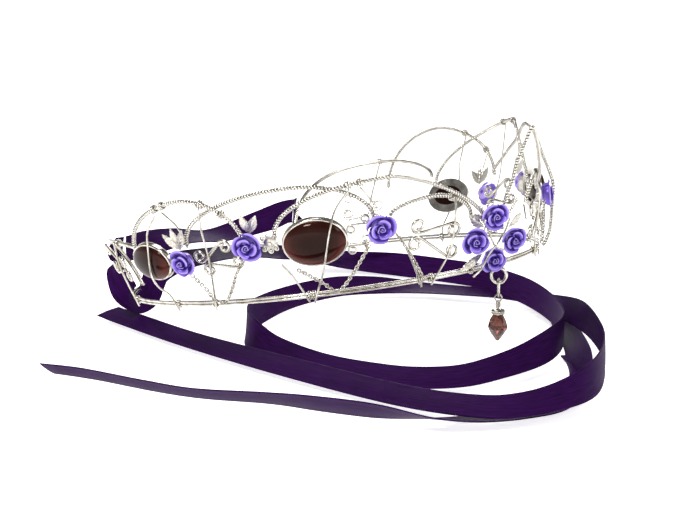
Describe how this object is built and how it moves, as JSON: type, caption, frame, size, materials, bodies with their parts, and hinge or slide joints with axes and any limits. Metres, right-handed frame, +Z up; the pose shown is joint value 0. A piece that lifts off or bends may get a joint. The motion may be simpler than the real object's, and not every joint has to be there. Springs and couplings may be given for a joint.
{
  "type": "wire crown",
  "caption": "Open crown of twisted silver wire arches with scrolls, oval stones, metal flowers, a hanging drop and satin ribbon ties.",
  "frame": {"origin": "centre of the base ring, where the crown sits on a head", "axes": "+Z up, the wearer faces -Y, +X towards the wearer's left"},
  "size_m": [0.218, 0.2084, 0.0847],
  "materials": {
    "silver_wire": "bright silver plate",
    "twisted_wire": "bright silver plate, twisted strands",
    "flowers": "satin violet anodised",
    "oval_stones": "polished dark brown dome",
    "drop_glass": "cut and polished",
    "ribbon": "satin weave, stitched edges"
  },
  "bodies": {
    "crown": {"base_wire_upper": "silver_wire", "base_wire_lower": "silver_wire", "arch_right_back": "twisted_wire", "arch_right_middle": "twisted_wire", "arch_right_front": "twisted_wire", "arch_right_small": "twisted_wire", "arch_left_front": "twisted_wire", "arch_left_small": "twisted_wire", "arch_left_middle": "twisted_wire", "arch_left_back": "twisted_wire", "arch_left_outer": "twisted_wire", "end_frame_right": "silver_wire", "end_frame_left": "silver_wire", "bezel_right_front": "silver_wire", "bezel_right_back": "silver_wire", "bezel_left_front": "silver_wire", "bezel_left_back": "silver_wire", "stone_right_front": "oval_stones", "stone_right_back": "oval_stones", "stone_left_front": "oval_stones", "stone_left_back": "oval_stones", "rose_front_top": "flowers", "rose_front_right": "flowers", "rose_front_left": "flowers", "rose_front_bottom": "flowers", "rose_right_front": "flowers", "rose_right_middle": "flowers", "rose_right_back": "flowers", "rose_left_front": "flowers", "rose_left_middle": "flowers", "rose_left_back": "flowers", "scrolls_right_front": "silver_wire", "scrolls_right_back": "silver_wire", "scrolls_right_end": "silver_wire", "scrolls_left_front": "silver_wire", "scrolls_left_back": "silver_wire", "scrolls_left_end": "silver_wire", "links_right": "silver_wire", "links_left": "silver_wire", "floret_right": "silver_wire", "floret_left": "silver_wire", "leaves_right": "silver_wire", "leaves_left": "silver_wire", "leaves_front": "silver_wire", "chain_right_back": "twisted_wire", "chain_right_middle": "twisted_wire", "chain_right_front": "twisted_wire", "chain_left_back": "twisted_wire", "chain_left_middle": "twisted_wire", "chain_left_front": "twisted_wire", "lacing_right": "silver_wire", "lacing_left": "silver_wire", "bail_ring": "silver_wire", "ribbon_right": "ribbon", "ribbon_left": "ribbon", "ribbon_back": "ribbon"},
    "link": {"drop_link": "silver_wire"},
    "drop": {"drop_cap": "silver_wire", "drop_stone": "drop_glass"}
  },
  "joints": [
    {"name": "link_swing", "type": "hinge", "parent": "crown", "child": "link", "pos_m": [0.0006, -0.0754, 0.0068], "axis": [0.7071, -0.7071, 0], "range_deg": [-40, 40]},
    {"name": "drop_swing", "type": "hinge", "parent": "link", "child": "drop", "pos_m": [0.0006, -0.0754, 0.002], "axis": [0.7071, 0.7071, 0], "range_deg": [-35, 35]}
  ]
}
